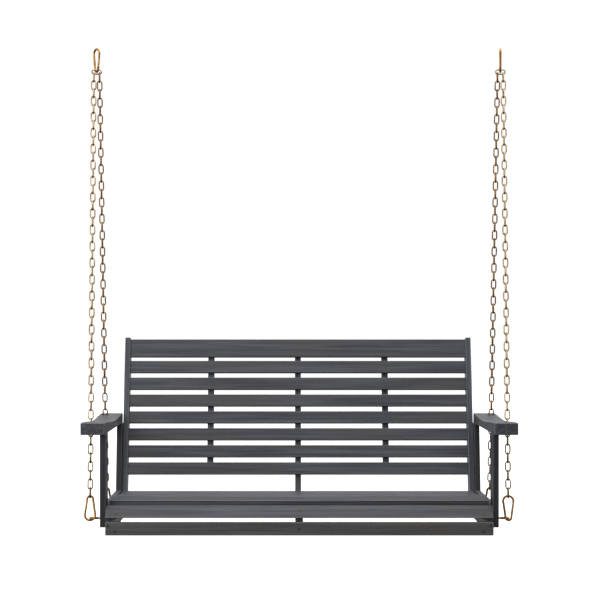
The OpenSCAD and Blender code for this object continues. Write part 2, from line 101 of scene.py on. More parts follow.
def applied(piece, kind, **settings):
    modifier = piece.modifiers.new(kind, kind)
    for key, value in settings.items():
        setattr(modifier, key, value)
    only(piece)
    bpy.ops.object.modifier_apply(modifier=modifier.name)


def joined(pieces, name):
    only(pieces[0])
    for piece in pieces[1:]:
        piece.select_set(True)
    bpy.ops.object.join()
    pieces[0].name = name
    return pieces[0]


def copied(piece, matrix):
    twin = piece.copy()
    twin.data = piece.data.copy()
    bpy.context.scene.collection.objects.link(twin)
    twin.matrix_world = matrix
    settle(twin)
    return twin


def removed(piece):
    bpy.data.objects.remove(piece)


def solidsOf(node):  # the points of each separate solid in a CAD node
    data = frame["nodes"][node].data
    points = numpy.array([vertex.co for vertex in data.vertices])
    spots, which = numpy.unique(numpy.round(points / weld), axis=0, return_inverse=True)
    which = which.ravel()
    owner = list(range(len(spots)))

    def root(i):
        while owner[i] != i:
            owner[i] = owner[owner[i]]
            i = owner[i]
        return i

    for face in data.polygons:
        first = root(which[face.vertices[0]])
        for vertex in face.vertices[1:]:
            owner[root(which[vertex])] = first
    groups = {}
    for i, spot in enumerate(spots):
        groups.setdefault(root(i), []).append(spot * weld)
    return [numpy.array(group) for group in groups.values()]


def fitted(piece, node, body="swing"):  # stands for the CAD node and moves with its body
    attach(piece, body)
    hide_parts(node)
    return piece


def longAxes(points):  # middle of a cloud of points and its directions, longest first
    middle = (points.max(0) + points.min(0)) / 2
    _, _, axes = numpy.linalg.svd(points - points.mean(0), full_matrices=False)
    return Vector(middle), [Vector(axis) for axis in axes]


# Materials

def linear(hexColour):
    parts = [int(hexColour[i:i + 2], 16) / 255 for i in (1, 3, 5)]
    return tuple(c / 12.92 if c <= 0.04045 else ((c + 0.055) / 1.055) ** 2.4 for c in parts) + (1,)


def newMaterial(name):
    material = bpy.data.materials.new(name)
    material.use_nodes = True
    material.node_tree.nodes.clear()
    return material


def addNode(material, kind, links=None, values=None, **settings):
    node = material.node_tree.nodes.new(kind)
    for key, value in settings.items():
        setattr(node, key, value)
    for key, value in (values or {}).items():
        node.inputs[key].default_value = value
    for key, socket in (links or {}).items():
        material.node_tree.links.new(socket, node.inputs[key])
    return node


# Eucalyptus, planed and stained charcoal: satin, straight grain, a little grey worn through
stain = {
    "dark": "#303137",
    "middle": "#4a4b51",
    "light": "#62646b",
    "warm": "#4f4b48",
    "edge": "#74767c",
    "fineGrain": 2.2,      # mm across a streak, coarse enough to show
    "broadGrain": 9,       # mm across a band
    "boardTone": 70,       # mm, so that each board has its own tone
    "length": 90,          # streaks are this many times longer than wide
    "roughness": (0.42, 0.6),
}


def stainedEucalyptus(name, along, lean=0, shift=0.0, tones=stain, worn=0.0):
    wood = newMaterial(name)
    place = addNode(wood, "ShaderNodeTexCoord").outputs["Object"]
    if lean:  # turns the grain in line with a leaning board
        place = addNode(wood, "ShaderNodeMapping", {"Vector": place},
                        {"Rotation": (radians(lean), 0, 0)}).outputs["Vector"]

    def grain(size, stretch, detail, distortion):
        scale = [1000 / size] * 3
        scale["XYZ".index(along)] /= stretch
        spot = addNode(wood, "ShaderNodeMapping", {"Vector": place},
                       {"Scale": scale, "Location": (shift, 0.7 * shift, 1.3 * shift)})
        return addNode(wood, "ShaderNodeTexNoise", {"Vector": spot.outputs["Vector"]},
                       {"Scale": 1, "Detail": detail, "Roughness": 0.62,
                        "Distortion": distortion}).outputs["Fac"]

    def stretched(value, low, high, toLow=0.0, toHigh=1.0):
        return addNode(wood, "ShaderNodeMapRange", {"Value": value},
                       {"From Min": low, "From Max": high, "To Min": toLow,
                        "To Max": toHigh}).outputs["Result"]

    def blended(factor, first, second):
        mix = addNode(wood, "ShaderNodeMix", {0: factor, 6: first}, {7: linear(second)},
                      data_type="RGBA")
        return mix.outputs[2]

    fine = grain(tones["fineGrain"], tones["length"], 3, 0.3)
    broad = grain(tones["broadGrain"], tones["length"] * 0.5, 2, 0.4)
    board = grain(tones["boardTone"], 7, 1, 0.0)
    start = addNode(wood, "ShaderNodeMix", {0: stretched(fine, 0.36, 0.66)},
                    {6: linear(tones["dark"]), 7: linear(tones["middle"])}, data_type="RGBA")
    colour = blended(stretched(broad, 0.44, 0.74, 0, 0.75), start.outputs[2], tones["light"])
    colour = blended(stretched(board, 0.4, 0.66, 0, 0.4), colour, tones["warm"])
    if worn:  # stain rubbed thin along the eased edges
        colour = blended(stretched(fine, 0.3, 0.6, 0.25, worn), colour, tones["edge"])
    bump = addNode(wood, "ShaderNodeBump", {"Height": fine},
                   {"Strength": 0.35, "Distance": 0.25 * mm})
    finish = addNode(wood, "ShaderNodeBsdfPrincipled",
                     {"Base Color": colour, "Normal": bump.outputs["Normal"],
                      "Roughness": stretched(broad, 0.3, 0.7, *tones["roughness"])},
                     {"IOR": 1.45})
    addNode(wood, "ShaderNodeOutputMaterial", {"Surface": finish.outputs["BSDF"]})
    return wood


# Steel, yellow zinc plated: gold, browner in clouds of patch mm and dulled by fine specks
speckSize = 1.8  # mm


def zincPlatedSteel(name, light, middle, dark, roughness, patch):
    metal = newMaterial(name)
    place = addNode(metal, "ShaderNodeTexCoord").outputs["Object"]
    cloud = addNode(metal, "ShaderNodeTexNoise", {"Vector": place},
                    {"Scale": 1000 / patch, "Detail": 3, "Roughness": 0.6}).outputs["Fac"]
    speck = addNode(metal, "ShaderNodeTexNoise", {"Vector": place},
                    {"Scale": 1000 / speckSize, "Detail": 2}).outputs["Fac"]
    share = addNode(metal, "ShaderNodeMapRange", {"Value": cloud},
                    {"From Min": 0.36, "From Max": 0.64}).outputs["Result"]
    gold = addNode(metal, "ShaderNodeMix", {0: share}, {6: linear(middle), 7: linear(light)},
                   data_type="RGBA")
    dull = addNode(metal, "ShaderNodeMapRange", {"Value": speck},
                   {"From Min": 0.5, "From Max": 0.8, "To Max": 0.7}).outputs["Result"]
    colour = addNode(metal, "ShaderNodeMix", {0: dull, 6: gold.outputs[2]}, {7: linear(dark)},
                     data_type="RGBA")
    rough = addNode(metal, "ShaderNodeMapRange", {"Value": cloud},
                    {"From Min": 0.3, "From Max": 0.7, "To Min": roughness[0],
                     "To Max": roughness[1]})
    finish = addNode(metal, "ShaderNodeBsdfPrincipled",
                     {"Base Color": colour.outputs[2], "Roughness": rough.outputs["Result"]},
                     {"Metallic": 1.0})
    addNode(metal, "ShaderNodeOutputMaterial", {"Surface": finish.outputs["BSDF"]})
    return metal


def woodPair(name, along, lean=0, shift=0.0, tones=stain):  # face grain and its worn edge
    return (stainedEucalyptus(name, along, lean, shift, tones),
            stainedEucalyptus(name + "WornEdge", along, lean, shift, tones, worn=0.75))


lean = {"back": 13.9, "support": 8.9}  # degrees from upright

# The same stain takes browner on the apron. On the side frames it is darkened as painted shade from the
# armrests above, and on the stiles it is made lighter and bluer as painted light on their front faces
apronStain = dict(stain, dark="#444344", middle="#5a5958", light="#6c6a68", edge="#77756f")
# painted shade: a darkened copy of the stain for the front posts and rear supports, standing in for the
# shade under the armrests
frameStainPaintedShade = dict(stain, dark="#1c1d21", middle="#2c2d32", light="#3c3e44", warm="#33302e",
                  edge="#5d6067")
# painted light: a lighter, bluer copy of the stain stands in for light falling on the stiles' front
# faces
stileStainPaintedLight = dict(stain, dark="#363940", middle="#4b4e57", light="#646973")
woods = {
    "across": woodPair("stainedEucalyptusAcross", "X"),
    "back": woodPair("stainedEucalyptusBackSlats", "X", shift=3.7),
    "apron": woodPair("stainedEucalyptusApron", "X", shift=8.1, tones=apronStain),
    # the upright and support woods carry painted shade from the armrests
    "upright": woodPair("stainedEucalyptusUpright", "Z", shift=1.9, tones=frameStainPaintedShade),
    # the leaning wood carries painted light on the stiles' front faces
    "leaning": woodPair("stainedEucalyptusLeaning", "Z", lean["back"], shift=2.3, tones=stileStainPaintedLight),
    "support": woodPair("stainedEucalyptusSupport", "Z", lean["support"], shift=5.2, tones=frameStainPaintedShade),
    "deep": woodPair("stainedEucalyptusDeep", "Y", shift=6.6),
}
chainMetal = {  # the same plating in two copies: paler on the front chains as painted light, browner and duller on the rear ones as painted shade
    "front": zincPlatedSteel("yellowZincPlatedChain", "#cdb78f", "#a38352", "#452b0d",
                             (0.24, 0.34), 24),
    "rear": zincPlatedSteel("yellowZincPlatedDuller", "#b28548", "#855a28", "#472c10",
                            (0.26, 0.36), 24),
}
hookMetal = zincPlatedSteel("yellowZincPlatedForgings", "#c9984e", "#9c6b30", "#5e3d18",
                            (0.24, 0.36), 16)
# Steel, antique brass plated: an olive brown that barely shines
screwMetal = zincPlatedSteel("antiqueBrassPlatedScrews", "#655c46", "#4a4232", "#26211a",
                             (0.38, 0.5), 6)
print("materials ready")


# Boards: sawn square from a block, then eased along every edge

boards = {
    "thickness": 18 * mm,
    "ease": 1.6 * mm,
    "wear": 2,            # facets in an eased edge
    "supportWidth": 64 * mm,
    "stileDepth": 50 * mm,
    "postDepth": 27 * mm,
    "frontEase": 2 * mm,   # apron and deck, rounder to the touch
    "noseEase": 2.4 * mm,
    "stileEase": 2.2 * mm,
}
slopes = {"nose": 54, "deck": (5, -6.5, -4.667, -2.833, -1)}  # degrees, front to back
recess = {"radius": 4.5 * mm, "depth": 0.8 * mm, "bit": 4 * mm}  # countersink seen round a screw


def plank(name, size, middle, turn=0.0):
    bpy.ops.object.select_all(action="DESELECT")
    bpy.ops.mesh.primitive_cube_add(size=1, location=middle, rotation=(turn, 0, 0), scale=size)
    board = bpy.context.active_object
    board.name = name
    settle(board)
    return board


def squareBoard(name, node):
    low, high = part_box(node)
    return plank(name, high - low, (low + high) / 2)


def tiltedBoard(name, node, degreesUp, upright=False):
    low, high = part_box(node)
    span = high - low
    turn = radians(degreesUp)
    thick = boards["thickness"]
    width = ((span.z if upright else span.y) - thick * abs(sin(turn))) / cos(turn)
    size = (span.x, thick, width) if upright else (span.x, width, thick)
    return plank(name, size, (low + high) / 2, turn)


def noseBoard(name, node, degreesUp):  # lower edge sawn level
    low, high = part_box(node)
    turn = radians(degreesUp)
    thick = boards["thickness"]
    rise, under = Vector((0, cos(turn), sin(turn))), Vector((0, sin(turn), -cos(turn)))
    width = (high.z - low.z) / sin(turn)
    corner = Vector(((low.x + high.x) / 2, low.y, low.z))
    board = plank(name, (high.x - low.x, width, thick), corner + rise * width / 2 + under * thick / 2,
                  turn)
    heel = corner + under * thick
    openMesh(board)
    pick(board, "verts", lambda v: hypot(v.co.y - heel.y, v.co.z - heel.z) < mm)
    bpy.ops.transform.translate(value=rise * thick / tan(turn))
    closeMesh()
    return board


def leaningPost(name, node, depth):  # foot sawn level, top sawn square
    low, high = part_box(node)
    turn = radians(lean["back"])
    up, rear = Vector((0, sin(turn), cos(turn))), Vector((0, cos(turn), -sin(turn)))
    length = (high.z - low.z) / cos(turn)
    corner = Vector(((low.x + high.x) / 2, low.y, low.z))
    post = plank(name, (high.x - low.x, depth, length),
                 corner + up * length / 2 + rear * depth / 2, -turn)
    heel = corner + rear * depth
    openMesh(post)
    pick(post, "verts", lambda v: hypot(v.co.y - heel.y, v.co.z - heel.z) < mm)
    bpy.ops.transform.translate(value=up * depth * tan(turn))
    closeMesh()
    return post


def rearSupport(name, node):
    low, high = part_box(node)
    width = boards["supportWidth"]
    support = plank(name, (high.x - low.x, width, high.z - low.z),
                    ((low.x + high.x) / 2, low.y + width / 2, (low.z + high.z) / 2))
    openMesh(support)
    pick(support, "verts", lambda v: v.co.z > (low.z + high.z) / 2)
    bpy.ops.transform.translate(value=(0, high.y - low.y - width, 0))
    closeMesh()
    return support


def sideBoard(name, node):
    low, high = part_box(node)
    board = squareBoard(name, node)
    openMesh(board)
    pick(board, "verts", lambda v: v.co.z < (low.z + high.z) / 2 and v.co.y > (low.y + high.y) / 2)
    bpy.ops.transform.translate(value=(0, (low.z - high.z) * tan(radians(lean["support"])), 0))
    closeMesh()
    return board


def eased(board, wood, width=boards["ease"]):
    for material in wood:
        board.data.materials.append(material)
    openMesh(board)
    bpy.ops.mesh.select_all(action="DESELECT")
    bpy.ops.mesh.select_mode(type="EDGE")
    bpy.ops.mesh.edges_select_sharp(sharpness=radians(35))
    bpy.ops.mesh.bevel(offset=width, segments=boards["wear"], affect="EDGES", material=1,
                       clamp_overlap=True)
    closeMesh()
    return board


# Where every screw goes in: its head's face and the way it points
def screwPlaces():
    places = []
    for points in solidsOf("wood_screws"):
        middle, axes = longAxes(points)
        along = points @ numpy.array(axes[0])
        wide = points - numpy.outer(along, axes[0])
        radius = numpy.linalg.norm(wide - wide.mean(0), axis=1)
        top = along[radius.argmax()]
        way = axes[0] if top > along.mean() else -axes[0]
        reach = (along.max() - along.min()) / 2
        places.append((middle + way * reach, way))
    return places


screws = screwPlaces()
print("screw places", len(screws))


def countersunk(board):  # sinks a recess wherever a screw starts on this board's surface
    cutters = []
    for head, way in screws:
        found, spot, normal, _ = board.closest_point_on_mesh(head)
        if not found or (spot - head).length > 0.5 * mm or normal.dot(way) < 0.9:
            continue
        bpy.ops.object.select_all(action="DESELECT")
        bpy.ops.mesh.primitive_cylinder_add(vertices=20, radius=recess["radius"], depth=recess["bit"],
                                            location=head + way * (recess["bit"] / 2 - recess["depth"]),
                                            rotation=way.to_track_quat("Z", "Y").to_euler())
        cutters.append(bpy.context.active_object)
    if cutters:
        tool = joined(cutters, "drill")
        applied(board, "BOOLEAN", object=tool, operation="DIFFERENCE", solver="EXACT")
        removed(tool)
    return board


def finishedBoard(board, node):
    countersunk(board)
    only(board)
    bpy.ops.object.shade_smooth()
    applied(board, "WEIGHTED_NORMAL", keep_sharp=True, weight=90)
    return fitted(board, node)


sideNames = {"l": "Left", "r": "Right"}
apron = squareBoard("frontApron", "front_apron")
finishedBoard(eased(apron, woods["apron"], boards["frontEase"]), "front_apron")
nose = noseBoard("noseSlat", "nose_slat", slopes["nose"])
finishedBoard(eased(nose, woods["across"], boards["noseEase"]), "nose_slat")
for number, tilt in enumerate(slopes["deck"], 1):
    node = "deck_slat_%d" % number
    slat = tiltedBoard("deckSlat%d" % number, node, tilt)
    finishedBoard(eased(slat, woods["across"], boards["frontEase"]), node)
for number in range(1, 9):
    node = "back_slat_%d" % number
    slat = tiltedBoard("backSlat%d" % number, node, -lean["back"], upright=True)
    finishedBoard(eased(slat, woods["back"]), node)
for side in "lr":
    name = sideNames[side]
    finishedBoard(eased(squareBoard("frontPost" + name, "front_post_" + side), woods["upright"]),
                  "front_post_" + side)
    finishedBoard(eased(rearSupport("rearSupport" + name, "rear_support_" + side), woods["support"]),
                  "rear_support_" + side)
    finishedBoard(eased(sideBoard("sideBoard" + name, "side_board_" + side), woods["deep"]),
                  "side_board_" + side)
    finishedBoard(eased(leaningPost("backStile" + name, "back_stile_" + side, boards["stileDepth"]),
                        woods["leaning"], boards["stileEase"]), "back_stile_" + side)
    batten = tiltedBoard("backBatten" + name, "back_batten_" + side, -lean["back"], upright=True)
    finishedBoard(eased(batten, woods["leaning"]), "back_batten_" + side)
finishedBoard(eased(leaningPost("backCenterPost", "back_center_post", boards["postDepth"]),
                    woods["leaning"]), "back_center_post")
print("boards done")


# Chain lines, from the CAD links
def chainLine(node):
    middle, axes = longAxes(numpy.array([v.co for v in frame["nodes"][node].data.vertices]))
    up = axes[0] if axes[0].z > 0 else -axes[0]
    return middle, up


# Armrests: straight below, hollowed on top, with a hole for each chain
armrest = {
    "front": 37 * mm,
    "hollow": 25 * mm,
    "rear": 33 * mm,
    "hollowAt": 0.56,       # share of the length
    "stations": 24,
    "hole": 15 * mm,
    "ease": 3 * mm,
}


def armThickness(share):
    if share < armrest["hollowAt"]:
        drop = (1 + cos(pi * share / armrest["hollowAt"])) / 2
        return armrest["hollow"] + (armrest["front"] - armrest["hollow"]) * drop
    rise = (1 - cos(pi * (share - armrest["hollowAt"]) / (1 - armrest["hollowAt"]))) / 2
    return armrest["hollow"] + (armrest["rear"] - armrest["hollow"]) * rise


def armPiece(name, node, chains):
    low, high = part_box(node)
    arm = squareBoard(name, node)
    openMesh(arm)
    pick(arm, "edges", lambda e: abs(e.verts[0].co.y - e.verts[1].co.y) > 100 * mm)
    bpy.ops.mesh.subdivide(number_cuts=armrest["stations"] - 1)
    for station in range(armrest["stations"] + 1):
        y = low.y + (high.y - low.y) * station / armrest["stations"]
        pick(arm, "verts", lambda v: v.co.z > high.z - 2 * mm and abs(v.co.y - y) < mm)
        bpy.ops.transform.translate(
            value=(0, 0, low.z + armThickness(station / armrest["stations"]) - high.z))
    closeMesh()
    eased(arm, woods["deep"], armrest["ease"])
    tools = []
    for chain in chains:
        middle, up = chainLine(chain)
        spot = middle + up * ((low.z + armrest["hollow"] / 2 - middle.z) / up.z)
        bpy.ops.object.select_all(action="DESELECT")
        bpy.ops.mesh.primitive_cylinder_add(vertices=40, radius=armrest["hole"], depth=120 * mm,
                                            location=(spot.x, spot.y, low.z))
        tools.append(bpy.context.active_object)
    tool = joined(tools, "holeSaw")
    applied(arm, "BOOLEAN", object=tool, operation="DIFFERENCE", solver="EXACT")
    removed(tool)
    return arm


for side in "lr":
    node = "arm_" + side
    arm = armPiece("armrest" + sideNames[side], node,
                   ["chain_front_" + side, "chain_rear_" + side])
    finishedBoard(arm, node)
print("armrests done")


# Screws: a flat head with a cross recess, on a short tapered shank
screw = {
    "head": 4.0 * mm,      # radii
    "shank": 2.0 * mm,
    "rim": 0.5 * mm,       # straight edge of the head
    "cone": 1.9 * mm,
    "length": 30 * mm,
    "sunk": 0.4 * mm,
    "cross": (4.6 * mm, 0.9 * mm, 1.4 * mm),
    "turn": 37.0,          # radians from one to the next, so that no two crosses line up
}


def screwBlank():
    bpy.ops.object.select_all(action="DESELECT")
    bpy.ops.mesh.primitive_cylinder_add(vertices=16, radius=screw["head"], depth=screw["rim"],
                                        location=(0, 0, -screw["rim"] / 2))
    blank = bpy.context.active_object
    openMesh(blank)
    pick(blank, "faces", lambda f: f.normal.z < -0.9)
    bpy.ops.mesh.extrude_region_move(TRANSFORM_OT_translate={"value": (0, 0, -screw["cone"])})
    bpy.ops.transform.resize(value=(screw["shank"] / screw["head"],) * 2 + (1,))
    bpy.ops.mesh.extrude_region_move(
        TRANSFORM_OT_translate={"value": (0, 0, screw["rim"] + screw["cone"] - screw["length"])})
    bpy.ops.transform.resize(value=(0.5, 0.5, 1))
    closeMesh()
    settle(blank)
    long, narrow, deep = screw["cross"]
    slots = [plank("slot", size, (0, 0, 0)) for size in ((long, narrow, deep), (narrow, long, deep))]
    tool = joined(slots, "driverBit")
    applied(blank, "BOOLEAN", object=tool, operation="DIFFERENCE", solver="EXACT", use_self=True)
    removed(tool)
    return blank


blank = screwBlank()
driven = []
for head, way in screws:
    turned = way.to_track_quat("Z", "Y").to_matrix().to_4x4()
    twist = Matrix.Rotation(screw["turn"] * len(driven), 4, "Z")
    driven.append(copied(blank, Matrix.Translation(head - way * screw["sunk"]) @ turned @ twist))
removed(blank)
allScrews = joined(driven, "woodScrews")
allScrews.data.materials.append(screwMetal)
fitted(allScrews, "wood_screws")
print("screws done")


# Chain: one welded link, bent from a round of wire
link = {"wire": 4.8 * mm, "width": 18.5 * mm, "sides": 6, "bend": 4}


def wireRing(radius, sides, place, turn=0.0):
    bpy.ops.object.select_all(action="DESELECT")
    bpy.ops.mesh.primitive_circle_add(vertices=sides, radius=radius, fill_type="NOTHING",
                                      location=place, rotation=(0, turn, 0))
    ring = bpy.context.active_object
    settle(ring)
    openMesh(ring)
    bpy.ops.mesh.select_all(action="SELECT")
    return ring


def closeWire(ring, capped=False):  # welds the seam, shuts open ends and turns faces outwards
    bpy.ops.mesh.select_all(action="SELECT")
    bpy.ops.mesh.remove_doubles(threshold=weld)
    if capped:
        bpy.ops.mesh.fill_holes(sides=0)
    bpy.ops.mesh.select_all(action="SELECT")
    bpy.ops.mesh.normals_make_consistent(inside=False)
    closeMesh()
    only(ring)
    bpy.ops.object.shade_smooth_by_angle(angle=radians(62))
    return ring


def chainLink(length):
    bow = (link["width"] - link["wire"]) / 2
    half = (length - link["width"]) / 2
    ring = wireRing(link["wire"] / 2, link["sides"], (bow, 0, -half))
    bpy.ops.mesh.extrude_region_move(TRANSFORM_OT_translate={"value": (0, 0, 2 * half)})
    bpy.ops.mesh.spin(steps=link["bend"], angle=pi, center=(0, 0, half), axis=(0, 1, 0))
    bpy.ops.mesh.extrude_region_move(TRANSFORM_OT_translate={"value": (0, 0, -2 * half)})
    bpy.ops.mesh.spin(steps=link["bend"], angle=pi, center=(0, 0, -half), axis=(0, 1, 0))
    return closeWire(ring)


def asMatrix(middle, x, y, z):
    turned = Matrix((x, y, z)).transposed()
    return Matrix.Translation(middle) @ turned.to_4x4()


def linkedPiece(name, node, metal):
    links = []
    for points in solidsOf(node):
        middle, (z, x, y) = longAxes(points)
        along = points @ numpy.array(z)
        if not links:
            pattern = chainLink(float(along.max() - along.min()))
        links.append(copied(pattern, asMatrix(middle, x, z.cross(x), z)))
    removed(pattern)
    piece = joined(links, name)
    piece.data.materials.append(metal)
    return fitted(piece, node)


for place in ("Front", "Rear"):
    for side in ("Left", "Right"):
        linkedPiece("chain" + place + side, "chain_%s_%s" % (place.lower(), side[0].lower()),
                    chainMetal[place.lower()])
linkedPiece("apexLinks", "apex_links", chainMetal["front"])
print("chains done")


# Spring hooks: a loop of wire, wide at one end, with a sprung gate on one leg
hook = {
    "wire": 7 * mm,
    "wide": 15.5 * mm,      # radius to the middle of the wire
    "narrow": 8.5 * mm,
    "span": 49 * mm,        # between the middles of the two ends
    "gateWire": 6.4 * mm,
    "sides": 14,
    "tongue": 2.4 * mm,
    "slot": 3 * mm,
    "stub": 3 * mm,         # straight wire on the gate's leg, from the wide end
    "pivotIn": 5.5 * mm,    # pivot to the narrow end
    "pivotGap": 4.2 * mm,
    "gateTip": 3.6 * mm,
    "wideSteps": 18,
    "narrowSteps": 12,
}
legAngle = asin((hook["wide"] - hook["narrow"]) / hook["span"])
legLength = hook["span"] * cos(legAngle)
pivotAt = legLength - hook["pivotIn"]
gateTip = hook["gateTip"]


def onLeg(along, side=1):
    return Vector((side * (hook["wide"] * cos(legAngle) - along * sin(legAngle)), 0,
                   hook["wide"] * sin(legAngle) + along * cos(legAngle)))


def hookBody():
    upLeg = onLeg(1) - onLeg(0)
    ring = wireRing(hook["wire"] / 2, hook["sides"], onLeg(hook["stub"]), -legAngle)
    bpy.ops.mesh.extrude_region_move(TRANSFORM_OT_translate={"value": -upLeg * hook["stub"]})
    bpy.ops.mesh.spin(steps=hook["wideSteps"], angle=-(pi + 2 * legAngle), center=(0, 0, 0),
                      axis=(0, 1, 0))
    bpy.ops.mesh.extrude_region_move(
        TRANSFORM_OT_translate={"value": onLeg(legLength, -1) - onLeg(0, -1)})
    bpy.ops.mesh.spin(steps=hook["narrowSteps"], angle=-(pi - 2 * legAngle),
                      center=(0, 0, hook["span"]), axis=(0, 1, 0))
    bpy.ops.mesh.extrude_region_move(
        TRANSFORM_OT_translate={"value": -upLeg * (hook["pivotIn"] - hook["pivotGap"])})
    body = closeWire(ring, capped=True)
    parts = [body]
    for middle, size in ((onLeg(5.2 * mm), (5.2 * mm, hook["tongue"], 5.5 * mm)),
                         (onLeg(pivotAt + 1.2 * mm), (6 * mm, hook["tongue"], 8 * mm))):
        bpy.ops.object.select_all(action="DESELECT")
        bpy.ops.mesh.primitive_cube_add(size=1, location=middle, rotation=(0, -legAngle, 0),
                                        scale=size)
        tongue = bpy.context.active_object
        settle(tongue)
        openMesh(tongue)
        bpy.ops.mesh.select_all(action="SELECT")
        bpy.ops.mesh.bevel(offset=0.5 * mm, segments=1, affect="EDGES")
        closeMesh()
        parts.append(tongue)
    return joined(parts, "hookPattern")


def gatePiece():
    bpy.ops.object.select_all(action="DESELECT")
    bpy.ops.mesh.primitive_cylinder_add(vertices=20, radius=hook["gateWire"] / 2,
                                        depth=pivotAt - gateTip,
                                        location=onLeg((pivotAt + gateTip) / 2),
                                        rotation=(0, -legAngle, 0))
    gate = bpy.context.active_object
    settle(gate)
    openMesh(gate)
    bpy.ops.mesh.select_mode(type="EDGE")
    bpy.ops.mesh.select_all(action="DESELECT")
    bpy.ops.mesh.edges_select_sharp(sharpness=radians(60))
    bpy.ops.mesh.bevel(offset=0.6 * mm, segments=2, affect="EDGES")
    closeMesh()
    bpy.ops.object.select_all(action="DESELECT")
    bpy.ops.mesh.primitive_cylinder_add(vertices=20, radius=hook["gateWire"] / 2,
                                        depth=hook["gateWire"] - 0.4 * mm,
                                        location=onLeg(pivotAt), rotation=(pi / 2, 0, 0))
    barrel = bpy.context.active_object
    settle(barrel)
    applied(gate, "BOOLEAN", object=barrel, operation="UNION", solver="EXACT")
    removed(barrel)
    for middle, length in ((gateTip + 2.5 * mm, 7 * mm), (pivotAt + 0.5 * mm, 10 * mm)):
        bpy.ops.object.select_all(action="DESELECT")
        bpy.ops.mesh.primitive_cube_add(size=1, location=onLeg(middle), rotation=(0, -legAngle, 0),
                                        scale=(14 * mm, hook["slot"], length))
        saw = bpy.context.active_object
        settle(saw)
        applied(gate, "BOOLEAN", object=saw, operation="DIFFERENCE", solver="EXACT")
        removed(saw)
    only(gate)
    bpy.ops.object.shade_smooth_by_angle(angle=radians(40))
    return gate


joints = {joint["name"]: joint for joint in frame["record"]["behaviour"]["joints"]}


def hookPlace(jointName, up):  # the hook's own axes, from its gate's hinge and the way it hangs
    hinge = joints[jointName]
    pivot = Vector(hinge["pos_m"])
    y = Vector(hinge["axis"]).normalized()
    x = y.cross(up).normalized()
    local = onLeg(pivotAt)
    return asMatrix(pivot - x * local.x - up * local.z, x, y, up)


hookPattern = hookBody()
gatePattern = gatePiece()
hookRows = [("top_hook_l", "top_gate_l", "top_gate_l_spring", Vector((0, 0, -1)), "hangers"),
            ("top_hook_r", "top_gate_r", "top_gate_r_spring", Vector((0, 0, -1)), "hangers")]
for place in ("front", "rear"):
    for side in "lr":
        _, up = chainLine("chain_%s_%s" % (place, side))
        if side == "r" and place == "front":  # hangs wide end up
            up = -up
        end = "%s_%s" % (place, side)
        hookRows.append(("hook_" + end, "gate_" + end, "gate_" + end + "_spring", up, "swing"))
for hookNode, gateNode, jointName, up, body in hookRows:
    words = hookNode.split("_")
    name = words[0] + "".join(word.capitalize() for word in words[1:])
    place = hookPlace(jointName, up)
    piece = copied(hookPattern, place)
    piece.name = name + "Body"
    piece.data.materials.append(hookMetal)
    fitted(piece, hookNode, body)
    gate = copied(gatePattern, place)
    gate.name = name + "Gate"
    gate.data.materials.append(hookMetal)
    fitted(gate, gateNode, gateNode + "_body")
removed(hookPattern)
removed(gatePattern)
print("hooks done")


# Eye bolts: a forged ring on a neck and a shank
eye = {"wire": 3 * mm, "ring": 11 * mm, "neck": 4.6 * mm}


def eyeBolt(points):
    low, high = Vector(points.min(0)), Vector(points.max(0))
    outer = 1 if low.x + high.x > 0 else -1
    middle = (low + high) / 2
    tip, root = (high.x, low.x) if outer > 0 else (low.x, high.x)
    centre = Vector((tip - outer * (eye["ring"] + eye["wire"]), middle.y, middle.z))
    bpy.ops.object.select_all(action="DESELECT")
    bpy.ops.mesh.primitive_torus_add(major_segments=28, minor_segments=12, location=centre,
                                     major_radius=eye["ring"], minor_radius=eye["wire"])
    ring = bpy.context.active_object
    settle(ring)
    openMesh(ring)  # a little flatter where the ring meets its neck
    pick(ring, "verts", lambda v: outer * (v.co.x - centre.x) < -0.8 * eye["ring"])
    bpy.ops.transform.resize(value=(1, 1, 1.12), center_override=centre)
    closeMesh()
    neck = centre.x - outer * (eye["ring"] - 0.5 * mm)
    bpy.ops.object.select_all(action="DESELECT")
    bpy.ops.mesh.primitive_cylinder_add(vertices=16, radius=eye["wire"], depth=4 * mm,
                                        location=(neck - outer * 2 * mm, centre.y, centre.z),
                                        rotation=(0, outer * pi / 2, 0))
    shank = bpy.context.active_object
    settle(shank)
    openMesh(shank)  # collar, then the plain shank to its end
    pick(shank, "faces", lambda f: outer * f.normal.x > 0.9)
    bpy.ops.transform.resize(value=(1, 1.3, 1.3), center_override=(neck, centre.y, centre.z))
    pick(shank, "faces", lambda f: outer * f.normal.x < -0.9)
    bpy.ops.mesh.extrude_region_move(
        TRANSFORM_OT_translate={"value": (root - neck + outer * eye["neck"], 0, 0)})
    bpy.ops.mesh.extrude_region_move(TRANSFORM_OT_translate={"value": (-outer * 0.6 * mm, 0, 0)})
    bpy.ops.transform.resize(value=(1, 0.8, 0.8))
    closeMesh()
    return [ring, shank]


eyeParts = []
for points in solidsOf("eye_bolts"):
    eyeParts += eyeBolt(points)
eyeBolts = joined(eyeParts, "eyeBolts")
only(eyeBolts)
bpy.ops.object.shade_smooth_by_angle(angle=radians(40))
eyeBolts.data.materials.append(hookMetal)
fitted(eyeBolts, "eye_bolts")
print("eye bolts done")


# CAD pieces that keep their shape get their real finish
kept = {
    "side_rail_l": woods["deep"][0], "side_rail_r": woods["deep"][0],
    "center_rail": woods["deep"][0],
    "corner_block_l": woods["upright"][0], "corner_block_r": woods["upright"][0],
    "rear_stretcher": woods["across"][0],
    "frame_bolts": screwMetal, "frame_nuts": hookMetal,
    "eye_washers": hookMetal, "eye_nuts": hookMetal,
    "top_rivets": hookMetal, "lower_rivets": hookMetal,
}
for node, material in kept.items():
    slots = frame["nodes"][node].data.materials
    slots.clear()
    slots.append(material)


# Studio: pale floor under the swing, a white surround and two soft lamps

